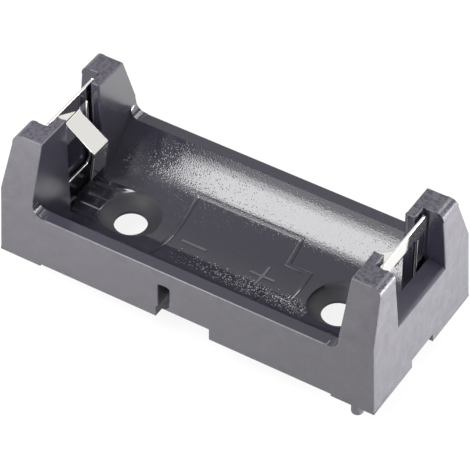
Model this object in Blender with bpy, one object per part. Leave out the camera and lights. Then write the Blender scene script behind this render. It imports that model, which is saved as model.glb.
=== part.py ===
"""Through-hole holder for one round cell: a moulded housing with two folded sheet contacts.

Lengths are in metres. X runs along the cell, Y across it and Z up. The origin lies on the board
surface, in the middle of the footprint. Everything is worked out from the sizes below.
"""

import math

import bmesh
import bpy

# Cell space: the trough and the room between the end walls
CELL_SPACE_LENGTH = 0.0362
TROUGH_RADIUS = 0.0091
TROUGH_FLOOR_HEIGHT = 0.0015
RIM_HEIGHT = 0.0068
RIM_WIDTH = 0.0014
RIM_END_FILLET = 0.0012

# End walls, whose four towers lean in above a crease
END_WALL_THICKNESS = 0.0044
HOUSING_HEIGHT = 0.0149
CREASE_HEIGHT = 0.0088
SIDE_DRAFT = 0.00015
TOWER_SIDE_LEAN = 0.00215
END_DRAFT = 0.00045
TOWER_END_LEAN = 0.0006
TOP_EDGE_ROUND = 0.0008

# Lips and slots that trap the contacts, and the window in each end wall
LIP_THICKNESS = 0.0011
LIP_GAP_WIDTH = 0.0062
SLOT_THICKNESS = 0.0009
SLOT_DEPTH_BELOW_FLOOR = 0.0006
WINDOW_WIDTH = 0.0096
SILL_HEIGHT = 0.0084
SILL_FALL = 0.0006
SILL_EDGE_ROUND = 0.0007
PIN_SLOT_CLEARANCE = 0.0003

# Screw holes
SCREW_SPACING = 0.0253
SCREW_HOLE_DIAMETER = 0.0036
SCREW_HEAD_DIAMETER = 0.0067
SCREW_LAND_HEIGHT = 0.0006
SCREW_CONE_HEIGHT = 0.00055

# Underside: stand-off pads, cored pockets, reliefs and pegs
STANDOFF_HEIGHT = 0.00028
PAD_LENGTH = 0.005
SKIRT_THICKNESS = 0.0013
SHELL_THICKNESS = 0.0013
FLOOR_SLAB_WIDTH = 0.0094
POCKET_RIB_THICKNESS = 0.0011
POCKETS_PER_HALF = 2
SKIRT_RELIEF_LENGTH = 0.0064
SKIRT_RELIEF_HEIGHT = 0.0017
SKIRT_RELIEF_DEPTH = 0.0036
CORE_WIDTH = 0.0017
CORE_DEPTH = 0.006
CORE_WALL = 0.0012
END_NOTCH_WIDTH = 0.0043
END_NOTCH_HEIGHT = 0.001
END_NOTCH_DEPTH = 0.0014
PEG_DIAMETER = 0.00135
PEG_LENGTH = 0.00195
PEG_TIP_ROUND = 0.0003
PEG_FROM_END = 0.0025
PEG_FROM_SIDE = 0.00115

# Blind slot in each skirt, at one end of its relief
SKIRT_SLOT_WIDTH = 0.0014
SKIRT_SLOT_TOP = 0.0049
SKIRT_SLOT_DEPTH = 0.0022
SKIRT_SLOT_INSET = 0.00025
SKIRT_SLOT_CORNER = 0.0009

# Contacts: one stamped sheet each, with a tongue folded out of its window
SHEET_THICKNESS = 0.0003
CONTACT_TOP_BELOW_WALL = 0.0004
CONTACT_CLEARANCE = 0.0003
TOP_BAND_HEIGHT = 0.0018
BOTTOM_BAND_HEIGHT = 0.0029
LEG_WIDTH = 0.0017
CONTACT_CORNER_ROUND = 0.0004
WINDOW_CORNER_ROUND = 0.0003
TONGUE_WIDTH = 0.0026
TONGUE_REACH = 0.0035
TONGUE_FALL = 0.0031
TONGUE_ROOT_RADIUS = 0.0009
TONGUE_NOSE_RADIUS = 0.00045
TONGUE_TAIL_LENGTH = 0.0036
TONGUE_TAIL_ANGLE = math.radians(8.0)
PIN_WIDTH = 0.001
PIN_LENGTH = 0.003
PIN_TIP_WIDTH = 0.0006
PIN_TIP_LENGTH = 0.0005

# One overrun serves all cuts
OVERRUN = 0.002

# Numbers of facets
TROUGH_STEPS = 72
HOLE_STEPS = 40
PEG_STEPS = 24
FILLET_STEPS = 6
BEND_STEPS = 6

# Sizes that follow from those above
HALF_CELL_SPACE = CELL_SPACE_LENGTH / 2
HALF_LENGTH = HALF_CELL_SPACE + END_WALL_THICKNESS
TROUGH_AXIS_HEIGHT = TROUGH_FLOOR_HEIGHT + TROUGH_RADIUS
HALF_TROUGH_MOUTH = math.sqrt(TROUGH_RADIUS ** 2 - (TROUGH_AXIS_HEIGHT - RIM_HEIGHT) ** 2)
HALF_RIM = HALF_TROUGH_MOUTH + RIM_WIDTH
HALF_WIDTH = HALF_RIM + SIDE_DRAFT
SLOT_INNER = HALF_CELL_SPACE + LIP_THICKNESS
SLOT_OUTER = SLOT_INNER + SLOT_THICKNESS
SLOT_FLOOR_HEIGHT = TROUGH_FLOOR_HEIGHT - SLOT_DEPTH_BELOW_FLOOR
PLATE_MIDDLE = (SLOT_INNER + SLOT_OUTER) / 2
PLATE_HALF_WIDTH = WINDOW_WIDTH / 2 - CONTACT_CLEARANCE
PLATE_BOTTOM = SLOT_FLOOR_HEIGHT + CONTACT_CLEARANCE
PLATE_TOP = HOUSING_HEIGHT - CONTACT_TOP_BELOW_WALL

HOUSING_COLOUR = (0.060, 0.059, 0.066, 1.0)
METAL_COLOUR = (0.78, 0.77, 0.74, 1.0)


def clear_scene():
    for thing in list(bpy.data.objects):
        bpy.data.objects.remove(thing, do_unlink=True)


def plain_material(name, colour, roughness, metallic):
    material = bpy.data.materials.new(name)
    material.use_nodes = True
    shader = material.node_tree.nodes["Principled BSDF"]
    shader.inputs["Base Color"].default_value = colour
    shader.inputs["Roughness"].default_value = roughness
    shader.inputs["Metallic"].default_value = metallic
    material.diffuse_color = colour
    return material


def make_object(name, mesh_data, collection=None):
    """Turn a bmesh into an object, with its normals pointing out."""
    bmesh.ops.recalc_face_normals(mesh_data, faces=mesh_data.faces)
    mesh = bpy.data.meshes.new(name)
    mesh_data.to_mesh(mesh)
    mesh_data.free()
    thing = bpy.data.objects.new(name, mesh)
    (collection or bpy.context.scene.collection).objects.link(thing)
    return thing


def helper_collection(name):
    collection = bpy.data.collections.new(name)
    bpy.context.scene.collection.children.link(collection)
    return collection


def as_helper(thing):
    thing.hide_render = True
    thing.display_type = "WIRE"
    return thing


def place(axis, u, v, w):
    """A point given in the plane across an axis (u, v) and along it (w)."""
    if axis == "X":
        return (w, u, v)
    if axis == "Y":
        return (u, w, v)
    return (u, v, w)


def prism(name, outline, axis, start, end, collection):
    """Extrude a closed outline along an axis, from start to end."""
    mesh_data = bmesh.new()
    corners = [mesh_data.verts.new(place(axis, u, v, start)) for u, v in outline]
    face = mesh_data.faces.new(corners)
    grown = bmesh.ops.extrude_face_region(mesh_data, geom=[face])
    moved = [item for item in grown["geom"] if isinstance(item, bmesh.types.BMVert)]
    bmesh.ops.translate(mesh_data, verts=moved, vec=place(axis, 0, 0, end - start))
    return make_object(name, mesh_data, collection)


def block(name, x_range, y_range, z_range, collection):
    outline = [(x_range[0], y_range[0]), (x_range[1], y_range[0]),
               (x_range[1], y_range[1]), (x_range[0], y_range[1])]
    return prism(name, outline, "Z", z_range[0], z_range[1], collection)


def turned(name, profile, x, y, steps, collection):
    """Turn a profile of (radius, height) points round a vertical axis at x, y."""
    mesh_data = bmesh.new()
    points = [mesh_data.verts.new((radius, 0, height)) for radius, height in profile]
    edges = [mesh_data.edges.new(pair) for pair in zip(points, points[1:])]
    bmesh.ops.spin(mesh_data, geom=points + edges, cent=(0, 0, 0), axis=(0, 0, 1),
                   angle=math.tau, steps=steps, use_merge=True)
    bmesh.ops.remove_doubles(mesh_data, verts=mesh_data.verts, dist=SHEET_THICKNESS / 100)
    bmesh.ops.translate(mesh_data, verts=mesh_data.verts, vec=(x, y, 0))
    return make_object(name, mesh_data, collection)


def arc(centre_u, centre_v, radius, start, end, steps):
    """Points on an arc, both ends included, with the angles in radians."""
    points = []
    for step in range(steps + 1):
        angle = start + (end - start) * step / steps
        points.append((centre_u + radius * math.cos(angle), centre_v + radius * math.sin(angle)))
    return points


def mirrored_ranges(low, high):
    """The same range on both sides of the middle."""
    return ((low, high), (-high, -low))


def boolean(thing, operation, collection):
    modifier = thing.modifiers.new(operation.title() + " " + collection.name, "BOOLEAN")
    modifier.operation = operation
    modifier.operand_type = "COLLECTION"
    modifier.collection = collection
    modifier.solver = "EXACT"


def tapered_body():
    """The outside of the housing: three rectangles, with the top edges at the ends rounded."""
    crease_length = HALF_LENGTH - END_DRAFT
    crease_width = HALF_WIDTH - SIDE_DRAFT
    levels = (
        (HALF_LENGTH, HALF_WIDTH, 0.0),
        (crease_length, crease_width, CREASE_HEIGHT),
        (crease_length - TOWER_END_LEAN, crease_width - TOWER_SIDE_LEAN, HOUSING_HEIGHT),
    )
    mesh_data = bmesh.new()
    rings = []
    for half_x, half_y, height in levels:
        corners = ((-half_x, -half_y), (half_x, -half_y), (half_x, half_y), (-half_x, half_y))
        rings.append([mesh_data.verts.new((x, y, height)) for x, y in corners])
    mesh_data.faces.new(rings[0])
    mesh_data.faces.new(rings[-1])
    for lower, upper in zip(rings, rings[1:]):
        for index in range(4):
            after = (index + 1) % 4
            mesh_data.faces.new((lower[index], lower[after], upper[after], upper[index]))
    end_edges = [mesh_data.edges.get((rings[-1][a], rings[-1][b])) for a, b in ((1, 2), (3, 0))]
    bmesh.ops.bevel(mesh_data, geom=end_edges, offset=TOP_EDGE_ROUND, segments=FILLET_STEPS,
                    profile=0.5, affect="EDGES")
    return make_object("housing", mesh_data)


def space_between_towers(cuts):
    """Room above the rims, rounded where the rims meet the end walls."""
    half = HALF_CELL_SPACE
    fillet = RIM_END_FILLET
    above = HOUSING_HEIGHT + OVERRUN
    outline = [(-half, above)]
    outline += arc(fillet - half, RIM_HEIGHT + fillet, fillet, math.pi, 1.5 * math.pi, FILLET_STEPS)
    outline += arc(half - fillet, RIM_HEIGHT + fillet, fillet, -0.5 * math.pi, 0, FILLET_STEPS)
    outline.append((half, above))
    side = HALF_WIDTH + OVERRUN
    as_helper(prism("space_between_towers", outline, "Y", -side, side, cuts))


def trough(cuts):
    """The round bed of the cell."""
    outline = arc(0, TROUGH_AXIS_HEIGHT, TROUGH_RADIUS, 0, math.tau, TROUGH_STEPS)[:-1]
    as_helper(prism("trough", outline, "X", -HALF_CELL_SPACE, HALF_CELL_SPACE, cuts))


def contact_bays(cuts):
    """Per end: the gap between the lips, the slot for the sheet, and the window outside it."""
    half_gap = LIP_GAP_WIDTH / 2
    half_window = WINDOW_WIDTH / 2
    above = HOUSING_HEIGHT + OVERRUN
    spread = math.asin(half_gap / TROUGH_RADIUS)
    gap = arc(0, TROUGH_AXIS_HEIGHT, TROUGH_RADIUS, -0.5 * math.pi - spread, -0.5 * math.pi + spread,
              FILLET_STEPS * 2)
    gap += [(half_gap, above), (-half_gap, above)]
    face = HALF_LENGTH - END_DRAFT
    fall = SILL_FALL / (face - SLOT_OUTER)
    round_start = face - SILL_EDGE_ROUND
    lean = math.atan(fall)
    round_top = SILL_HEIGHT - fall * (round_start - SLOT_OUTER)
    for name, sign in (("positive", 1), ("negative", -1)):
        as_helper(prism("lip_gap_" + name, gap, "X", sign * (HALF_CELL_SPACE - OVERRUN),
                        sign * (SLOT_INNER + SLOT_THICKNESS / 2), cuts))
        edge = arc(round_start - SILL_EDGE_ROUND * math.sin(-lean),
                   round_top - SILL_EDGE_ROUND * math.cos(lean), SILL_EDGE_ROUND,
                   0.5 * math.pi - lean, 0, FILLET_STEPS)
        outline = [(SLOT_INNER, SLOT_FLOOR_HEIGHT), (SLOT_OUTER, SLOT_FLOOR_HEIGHT),
                   (SLOT_OUTER, SILL_HEIGHT)]
        outline += edge
        outline += [(HALF_LENGTH + OVERRUN, edge[-1][1]), (HALF_LENGTH + OVERRUN, above),
                    (SLOT_INNER, above)]
        outline = [(sign * x, z) for x, z in outline]
        as_helper(prism("contact_slot_" + name, outline, "Y", -half_window, half_window, cuts))
        half_pin = PIN_WIDTH / 2 + PIN_SLOT_CLEARANCE
        low, high = sorted((sign * SLOT_INNER, sign * SLOT_OUTER))
        as_helper(block("pin_slot_" + name, (low, high), (-half_pin, half_pin),
                        (-OVERRUN, SLOT_FLOOR_HEIGHT + SLOT_DEPTH_BELOW_FLOOR / 2), cuts))


def screw_holes(cuts):
    """Clearance hole, cone and straight wall for a screw head, twice."""
    hole = SCREW_HOLE_DIAMETER / 2
    head = SCREW_HEAD_DIAMETER / 2
    wall_foot = SCREW_LAND_HEIGHT + SCREW_CONE_HEIGHT
    top = TROUGH_FLOOR_HEIGHT + OVERRUN
    profile = [(0, -OVERRUN), (hole, -OVERRUN), (hole, SCREW_LAND_HEIGHT), (head, wall_foot),
               (head, top), (0, top)]
    for name, sign in (("right", 1), ("left", -1)):
        as_helper(turned("screw_hole_" + name, profile, sign * SCREW_SPACING / 2, 0, HOLE_STEPS,
                         cuts))


def standoff(undercut):
    """The underside between the end pads stands clear of the board."""
    half = HALF_LENGTH - PAD_LENGTH
    side = HALF_WIDTH + OVERRUN
    as_helper(block("standoff", (-half, half), (-side, side), (-OVERRUN, STANDOFF_HEIGHT),
                    undercut))


def pegs(additions):
    """Two locating pegs on opposite corners."""
    for name, sign in (("right", 1), ("left", -1)):
        radius = PEG_DIAMETER / 2
        tip = arc(radius - PEG_TIP_ROUND, PEG_TIP_ROUND - PEG_LENGTH, PEG_TIP_ROUND,
                  -0.5 * math.pi, 0, FILLET_STEPS)
        root = SLOT_FLOOR_HEIGHT
        profile = [(0, -PEG_LENGTH)] + tip + [(radius, root), (0, root)]
        as_helper(turned("peg_" + name, profile, sign * (HALF_LENGTH - PEG_FROM_END),
                         -sign * (HALF_WIDTH - PEG_FROM_SIDE), PEG_STEPS, additions))


def side_pockets(cuts):
    """Cored bays under the trough walls, with ribs between them."""
    skirt = HALF_RIM - SKIRT_THICKNESS
    inner = FLOOR_SLAB_WIDTH / 2
    shell = TROUGH_RADIUS + SHELL_THICKNESS
    start = math.acos(skirt / shell)
    end = math.acos(inner / shell)
    first = SKIRT_RELIEF_LENGTH / 2 + POCKET_RIB_THICKNESS
    last = HALF_LENGTH - PAD_LENGTH - POCKET_RIB_THICKNESS
    length = (last - first - POCKET_RIB_THICKNESS * (POCKETS_PER_HALF - 1)) / POCKETS_PER_HALF
    for side in (-1, 1):
        outline = [(side * skirt, -OVERRUN)]
        for y, z in arc(0, TROUGH_AXIS_HEIGHT, shell, -start, -end, FILLET_STEPS * 2):
            outline.append((side * y, z))
        outline.append((side * inner, -OVERRUN))
        for index in range(POCKETS_PER_HALF):
            low = first + index * (length + POCKET_RIB_THICKNESS)
            for half, (x_low, x_high) in enumerate(mirrored_ranges(low, low + length)):
                name = "side_pocket_%s_%d_%d" % ("back" if side > 0 else "front", index, half)
                as_helper(prism(name, outline, "X", x_low, x_high, cuts))


def skirt_reliefs(cuts):
    """A raised stretch in the middle of each skirt, with a blind slot at one end of it."""
    half = SKIRT_RELIEF_LENGTH / 2
    slot_start = SKIRT_SLOT_INSET - half
    slot_end = slot_start + SKIRT_SLOT_WIDTH
    corner = SKIRT_SLOT_CORNER
    low = SKIRT_RELIEF_HEIGHT
    for name, sign in (("front", -1), ("back", 1)):
        near = sign * (HALF_WIDTH - SKIRT_RELIEF_DEPTH)
        far = sign * (HALF_WIDTH + OVERRUN)
        as_helper(block("skirt_relief_" + name, (-half, half), sorted((near, far)),
                        (-OVERRUN, low), cuts))
        outline = [(slot_start, SKIRT_SLOT_TOP), (slot_start, low - OVERRUN / 4),
                   (slot_end - corner, low - OVERRUN / 4)]
        outline += arc(slot_end - corner, low + corner, corner, -0.5 * math.pi, 0, FILLET_STEPS)
        outline.append((slot_end, SKIRT_SLOT_TOP))
        outline = [(-sign * x, z) for x, z in outline]
        as_helper(prism("skirt_slot_" + name, outline, "Y",
                        sign * (HALF_WIDTH - SKIRT_SLOT_DEPTH), far, cuts))


def end_cores(cuts):
    """Notches under the end faces and a cored pocket under each tower."""
    notch = END_NOTCH_WIDTH / 2
    core_y = WINDOW_WIDTH / 2 + CORE_WALL
    core_x = HALF_CELL_SPACE + CORE_WALL
    for end, x_range in zip(("right", "left"), mirrored_ranges(
            HALF_LENGTH - END_NOTCH_DEPTH, HALF_LENGTH + OVERRUN)):
        as_helper(block("end_notch_" + end, x_range, (-notch, notch),
                        (-OVERRUN, END_NOTCH_HEIGHT), cuts))
    for end, x_range in zip(("right", "left"), mirrored_ranges(
            core_x, HALF_LENGTH - END_DRAFT - CORE_WALL)):
        for side, y_range in zip(("back", "front"), mirrored_ranges(core_y, core_y + CORE_WIDTH)):
            as_helper(block("tower_core_%s_%s" % (end, side), x_range, y_range,
                            (-OVERRUN, CORE_DEPTH), cuts))


def build_housing(material):
    undercut = helper_collection("undercut")
    additions = helper_collection("additions")
    cuts = helper_collection("cuts")
    housing = tapered_body()
    housing.data.materials.append(material)
    standoff(undercut)
    pegs(additions)
    space_between_towers(cuts)
    trough(cuts)
    contact_bays(cuts)
    screw_holes(cuts)
    side_pockets(cuts)
    skirt_reliefs(cuts)
    end_cores(cuts)
    boolean(housing, "DIFFERENCE", undercut)
    boolean(housing, "UNION", additions)
    boolean(housing, "DIFFERENCE", cuts)
    return housing


def bent_path():
    """The tongue's middle line from its root: (distance towards the cell, height) pairs.

    It leaves the top band straight down, bends towards the cell, falls to the nose that meets
    the cell, and turns down into a short tail.
    """
    slope = math.atan2(TONGUE_REACH, TONGUE_FALL)
    root_height = PLATE_TOP - TOP_BAND_HEIGHT
    nose = (TONGUE_REACH, root_height - TONGUE_FALL)
    points = []
    for step in range(BEND_STEPS + 1):
        angle = slope * step / BEND_STEPS
        points.append((TONGUE_ROOT_RADIUS * (1 - math.cos(angle)),
                       root_height - TONGUE_ROOT_RADIUS * math.sin(angle)))
    turn = slope + TONGUE_TAIL_ANGLE
    trim = TONGUE_NOSE_RADIUS * math.tan(turn / 2)
    start = (nose[0] - trim * math.sin(slope), nose[1] + trim * math.cos(slope))
    centre = (start[0] - TONGUE_NOSE_RADIUS * math.cos(slope),
              start[1] - TONGUE_NOSE_RADIUS * math.sin(slope))
    for step in range(BEND_STEPS + 1):
        angle = slope - turn * step / BEND_STEPS
        points.append((centre[0] + TONGUE_NOSE_RADIUS * math.cos(angle),
                       centre[1] + TONGUE_NOSE_RADIUS * math.sin(angle)))
    tail = TONGUE_TAIL_LENGTH - trim
    points.append((points[-1][0] - tail * math.sin(TONGUE_TAIL_ANGLE),
                   points[-1][1] - tail * math.cos(TONGUE_TAIL_ANGLE)))
    return points


def strip(mesh_data, lower_row, points):
    """Add a row of quads from one row of vertices to a new one at the given points."""
    row = [mesh_data.verts.new(point) for point in points]
    for index in range(len(row) - 1):
        mesh_data.faces.new((lower_row[index], lower_row[index + 1], row[index + 1], row[index]))
    return row


def build_contact_sheet():
    """The middle surface of one contact, standing in the plane X = 0, the cell towards -X."""
    window_half = PLATE_HALF_WIDTH - LEG_WIDTH
    tongue_half = TONGUE_WIDTH / 2
    pin_half = PIN_WIDTH / 2
    columns = [-PLATE_HALF_WIDTH, -window_half, -tongue_half, -pin_half,
               pin_half, tongue_half, window_half, PLATE_HALF_WIDTH]
    window_top = PLATE_TOP - TOP_BAND_HEIGHT
    window_bottom = PLATE_BOTTOM + BOTTOM_BAND_HEIGHT
    mesh_data = bmesh.new()
    rows = []
    for height in (PLATE_BOTTOM, window_bottom, window_top, PLATE_TOP):
        rows.append([mesh_data.verts.new((0, y, height)) for y in columns])
    last = len(columns) - 2
    for level in range(3):
        for index in range(last + 1):
            if level == 1 and 0 < index < last:
                continue
            mesh_data.faces.new((rows[level][index], rows[level][index + 1],
                                 rows[level + 1][index + 1], rows[level + 1][index]))
    tongue_row = rows[2][2:6]
    for reach, height in bent_path()[1:]:
        tongue_row = strip(mesh_data, tongue_row, [(-reach, y, height) for y in columns[2:6]])
    pin_row = rows[0][3:5]
    shoulder = PIN_TIP_LENGTH - PIN_LENGTH
    pin_row = strip(mesh_data, pin_row, [(0, y, shoulder) for y in (-pin_half, pin_half)])
    tip_half = PIN_TIP_WIDTH / 2
    strip(mesh_data, pin_row, [(0, y, -PIN_LENGTH) for y in (-tip_half, tip_half)])
    outer_corners = [rows[0][0], rows[0][-1], rows[3][0], rows[3][-1]]
    window_corners = [rows[1][1], rows[1][-2], rows[2][1], rows[2][-2]]
    for corners, radius in ((outer_corners, CONTACT_CORNER_ROUND),
                            (window_corners, WINDOW_CORNER_ROUND)):
        bmesh.ops.bevel(mesh_data, geom=corners, offset=radius, segments=FILLET_STEPS // 2,
                        profile=0.5, affect="VERTICES")
    return mesh_data


def build_contacts(material):
    """The same folded sheet at both ends, the negative one turned round."""
    mesh_data = build_contact_sheet()
    positive = make_object("contact_positive", mesh_data)
    positive.data.materials.append(material)
    negative = bpy.data.objects.new("contact_negative", positive.data)
    bpy.context.scene.collection.objects.link(negative)
    positive.location.x = PLATE_MIDDLE
    negative.location.x = -PLATE_MIDDLE
    negative.rotation_euler.z = math.pi
    for contact in (positive, negative):
        thickness = contact.modifiers.new("Sheet", "SOLIDIFY")
        thickness.thickness = SHEET_THICKNESS
        thickness.offset = 0.0
        thickness.use_even_offset = True
    return positive, negative


def main():
    clear_scene()
    plastic = plain_material("moulded_plastic", HOUSING_COLOUR, 0.55, 0.0)
    metal = plain_material("nickel_plated_steel", METAL_COLOUR, 0.25, 1.0)
    build_housing(plastic)
    build_contacts(metal)


main()
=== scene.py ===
"""Looks of a through-hole battery holder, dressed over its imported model.

The housing is one moulding, spark-textured outside and polished in the trough, with its long
outer edges eased. Two folded, nickel-plated sheet contacts stand in its end walls. A raised cell
outline with plus and minus signs is moulded into the trough. Lengths are in metres.
"""

import math

import bmesh
import bpy
from bpy.props import FloatProperty, FloatVectorProperty, IntProperty, PointerProperty
from mathutils import Matrix, Vector


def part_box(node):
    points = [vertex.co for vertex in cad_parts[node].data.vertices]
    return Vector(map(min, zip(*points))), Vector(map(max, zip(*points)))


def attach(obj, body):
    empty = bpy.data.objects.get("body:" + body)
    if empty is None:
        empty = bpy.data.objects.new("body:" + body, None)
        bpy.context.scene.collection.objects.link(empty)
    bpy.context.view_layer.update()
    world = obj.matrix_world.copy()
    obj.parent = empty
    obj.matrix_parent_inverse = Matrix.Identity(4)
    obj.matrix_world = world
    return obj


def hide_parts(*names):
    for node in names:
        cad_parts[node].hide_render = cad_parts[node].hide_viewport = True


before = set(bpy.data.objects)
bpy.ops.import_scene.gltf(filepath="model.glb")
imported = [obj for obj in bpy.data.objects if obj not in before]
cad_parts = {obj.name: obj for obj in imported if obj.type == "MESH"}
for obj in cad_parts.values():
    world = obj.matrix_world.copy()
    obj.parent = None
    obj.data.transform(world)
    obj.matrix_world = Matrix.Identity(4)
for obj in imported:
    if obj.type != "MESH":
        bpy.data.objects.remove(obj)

bl_info = {
    "name": "Through-hole Battery Holder",
    "version": (1, 0, 0),
    "blender": (4, 5, 0),
    "location": "3D View > Sidebar > Battery Holder",
    "description": "Moulded housing, folded contacts and polarity marks of a battery holder",
    "category": "Object",
}

HOUSING_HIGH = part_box("housing")[1]
PIN_TIP_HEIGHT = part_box("contact_positive")[0].z

# Each softbox or card: azimuth from +X and elevation of its middle in degrees, its distance from
# the part, its width and height as angles in degrees, and its brightness.
SOFTBOXES = (
    ("left_softbox", 180.0, 16.0, 0.35, 30.0, 24.0, 9.0),
    ("left_high_softbox", 190.0, 45.0, 0.35, 40.0, 24.0, 2.0),
    ("right_card", 6.0, 3.0, 0.075, 56.0, 19.0, 19.6),
    ("right_softbox", 5.0, 18.0, 0.35, 40.0, 24.0, 3.6),
    ("back_softbox", 84.0, 41.0, 0.35, 30.0, 22.0, 7.0),
)

# The key light is a strip box that leans over the cell. The middle of its face and its width are
# given, then for each of its lit bands, counted up the face from its middle, the lower edge, the
# upper edge and the brightness.
KEY_PLACE = (-0.025, -0.0523, 0.0513)
KEY_WIDTH = 0.038
KEY_LEAN = 50.0
KEY_BANDS = (
    ("key_foot", -0.050, -0.031, 2.2),
    ("key_low", -0.031, -0.019, 9.0),
    ("key_middle", -0.019, 0.024, 14.5),
    ("key_top", 0.024, 0.034, 4.8),
)

# The camera, fitted to the corners in the photograph: its azimuth from -Y towards +X and its
# elevation in degrees, its place, the width of its sensor in millimetres and its nearest distance
CAMERA_AZIMUTH = 31.7707
CAMERA_ELEVATION = 43.9799
CAMERA_PLACE = (0.1158071, -0.1865940, 0.2172234)
CAMERA_SENSOR = 36.0
CAMERA_NEAR = 0.01

# White, and the share of the white floor that shiny surfaces mirror
WHITE = (1.0, 1.0, 1.0, 1.0)
MIRRORED_FLOOR = 0.65

# The housing's finishes in the order of its material slots, and the second slot of the contacts
# and of the marks
# RECESS and RIDGE_SIDE are painted shade, for the shade in recesses, slots and along ridges
OUTSIDE, POLISHED, TOP, WALL, RECESS, EDGE, SILL = range(7)
SHEARED = 1
RIDGE_SIDE = 1

# Distance within which points merge, and a hair's breadth for tests of place
MERGE_DISTANCE = 0.000002
HAIR = 0.00001

# Angle up to which faces are joined into flat ones, angles from which the edges of a piece and of
# a ridge are rounded, angle up to which faces are shaded smoothly, and the weight that the flat
# faces have in that shading
FLAT_ANGLE = math.radians(0.5)
EDGE_ANGLE = math.radians(28)
RIDGE_ANGLE = math.radians(40)
SMOOTH_ANGLE = math.radians(34)
FLAT_FACE_WEIGHT = 100

# Long edges, in widths of their rounding: the shortest one that is rounded, the length under which
# an edge that isn't rounded crowds a corner, and how far short of such a corner a rounding stops
SHORTEST_EASED = 6
SHORTEST_FREE = 3
RUN_OUT = 2.5

# Segments round the eased edges of the contacts and of the marks
CONTACT_STEPS = 3
RIDGE_STEPS = 2

# How far down from the housing's top the finish of the tower tops reaches, and how far down its
# rounded edges have the outside's finish
TOP_DEPTH = 0.0009
TOWER_DEPTH = 0.0032

# How far in from the housing's sides or ends an outer edge can be, the skirt's slot reaches, the
# outside's finish reaches into a window and a sill's fade starts, and how far past the end it stops
SKIN_DEPTH = 0.0004
SKIRT_SLOT_DEPTH = 0.0027
WINDOW_DEPTH = 0.0006
SILL_FADE_DEPTH = 0.0011
SILL_FADE_PAST = 0.0002

# Heights above the board from which a face can be in a screw recess, the bed or an end window
RECESS_LOWEST = 0.0001
BED_LOWEST = 0.0006
SILL_LOWEST = 0.0012

# How far an edge has to be above the rims or off a contact's fold to be eased, and how far within
# the end windows' sides to stay crisp
RIM_CLEARANCE = 0.0002
FOLD_CLEARANCE = 0.0003
WINDOW_CLEARANCE = 0.0001

# The least part of a face's normal along an axis for a face that looks along it, for one on a
# tower's top, for one in a screw recess and for one on top of a ridge
SQUARE = 0.5
TOP_SQUARE = 0.3
RECESS_SQUARE = -0.1
RIDGE_SQUARE = 0.55

# Where along the trough its pits start and stop getting shallower, and their depths there
PITS_START = -0.012
PITS_STOP = 0.006
DEEP_PITS = 2.5
SHALLOW_PITS = 1.7

# Share of the pits' cells that stay plain, and the radius of a pit in widths of its cell
PLAIN_SHARE = 0.5
PIT_RADIUS = 0.5

# Greatest share of cells with a painted glint, and a glint's radius in widths of its cell
SPECK_SHARE = 0.7
SPECK_RADIUS = 0.42

# Middle of a noise texture's values, and how much more clouds change the colour than the gloss
NOISE_MIDDLE = 0.5
CLOUD_TINT = 2.0

# Features to the metre that the roll's lines have along each axis, and how far the lines change
# the roughness
ROLL_LINES = (900.0, 9000.0, 900.0)
ROLL_CHANGE = 0.03


# Settings that a user would change

def length_setting(precision=5, **values):
    """A length, with its own name, description, default and limits."""
    return FloatProperty(subtype="DISTANCE", unit="LENGTH", precision=precision, **values)


def colour_setting(**values):
    """A colour, with its own name, description and default."""
    return FloatVectorProperty(size=4, min=0.0, max=1.0, subtype="COLOR", **values)


class HousingSettings(bpy.types.PropertyGroup):
    """Sizes and finishes of the moulded housing"""

    edge_round: length_setting(
        name="Edge Round", description="How far the mould's edges are eased",
        default=0.00013, min=0.00002, max=0.0004)
    edge_steps: IntProperty(
        name="Edge Steps", description="Segments round each eased edge", default=3, min=1, max=4)
    skirt_top: length_setting(
        name="Skirt Top", description="Height above which the long edges are eased",
        default=0.0022)
    cell_end: length_setting(
        name="Cell Space End", description="Distance of the end walls' inner faces from the middle",
        default=0.0181)
    rim_height: length_setting(
        name="Rim Height", description="Height of the rims beside the trough",
        default=0.0068)
    trough_radius: length_setting(
        name="Trough Radius", description="Radius of the cell's bed",
        default=0.0091)
    trough_axis: length_setting(
        name="Trough Axis Height", description="Height of the middle of the cell's bed",
        default=0.0106)
    window_side: length_setting(
        name="Window Side", description="Distance of the end windows' sides from the middle",
        default=0.0048)
    screw_place: length_setting(
        name="Screw Place", description="Distance of the screw holes from the middle",
        default=0.01265)
    screw_head: length_setting(
        name="Screw Head Radius", description="Radius of the recesses for the screw heads",
        default=0.00335)
    slot_place: length_setting(
        name="Skirt Slot Place", description="Distance of the skirt's slots from the middle",
        default=0.0022)
    slot_half: length_setting(
        name="Skirt Slot Half Width", description="Half the width of the skirt's slots",
        default=0.0011)
    outside_colour: colour_setting(
        name="Outside Colour", description="Colour of the spark-textured outside",
        default=(0.063, 0.060, 0.0695, 1.0))
    polished_colour: colour_setting(
        name="Polished Colour", description="Colour of the polished trough and inner faces",
        default=(0.021, 0.0197, 0.0305, 1.0))
    top_colour: colour_setting(
        name="Top Colour", description="Colour of the dragged, mottled tops of the towers",
        default=(0.043, 0.039, 0.054, 1.0))
    # Painted shade: darker colour of the screw recesses, skirt slots and ridge sides
    recess_shade_colour: colour_setting(
        name="Recess Colour", description="Colour of the screw recesses",
        default=(0.030, 0.029, 0.034, 1.0))
    grain_size: length_setting(
        name="Grain Size", description="Size of the grains of the spark texture",
        default=0.00016, min=0.00002, precision=6)


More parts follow.
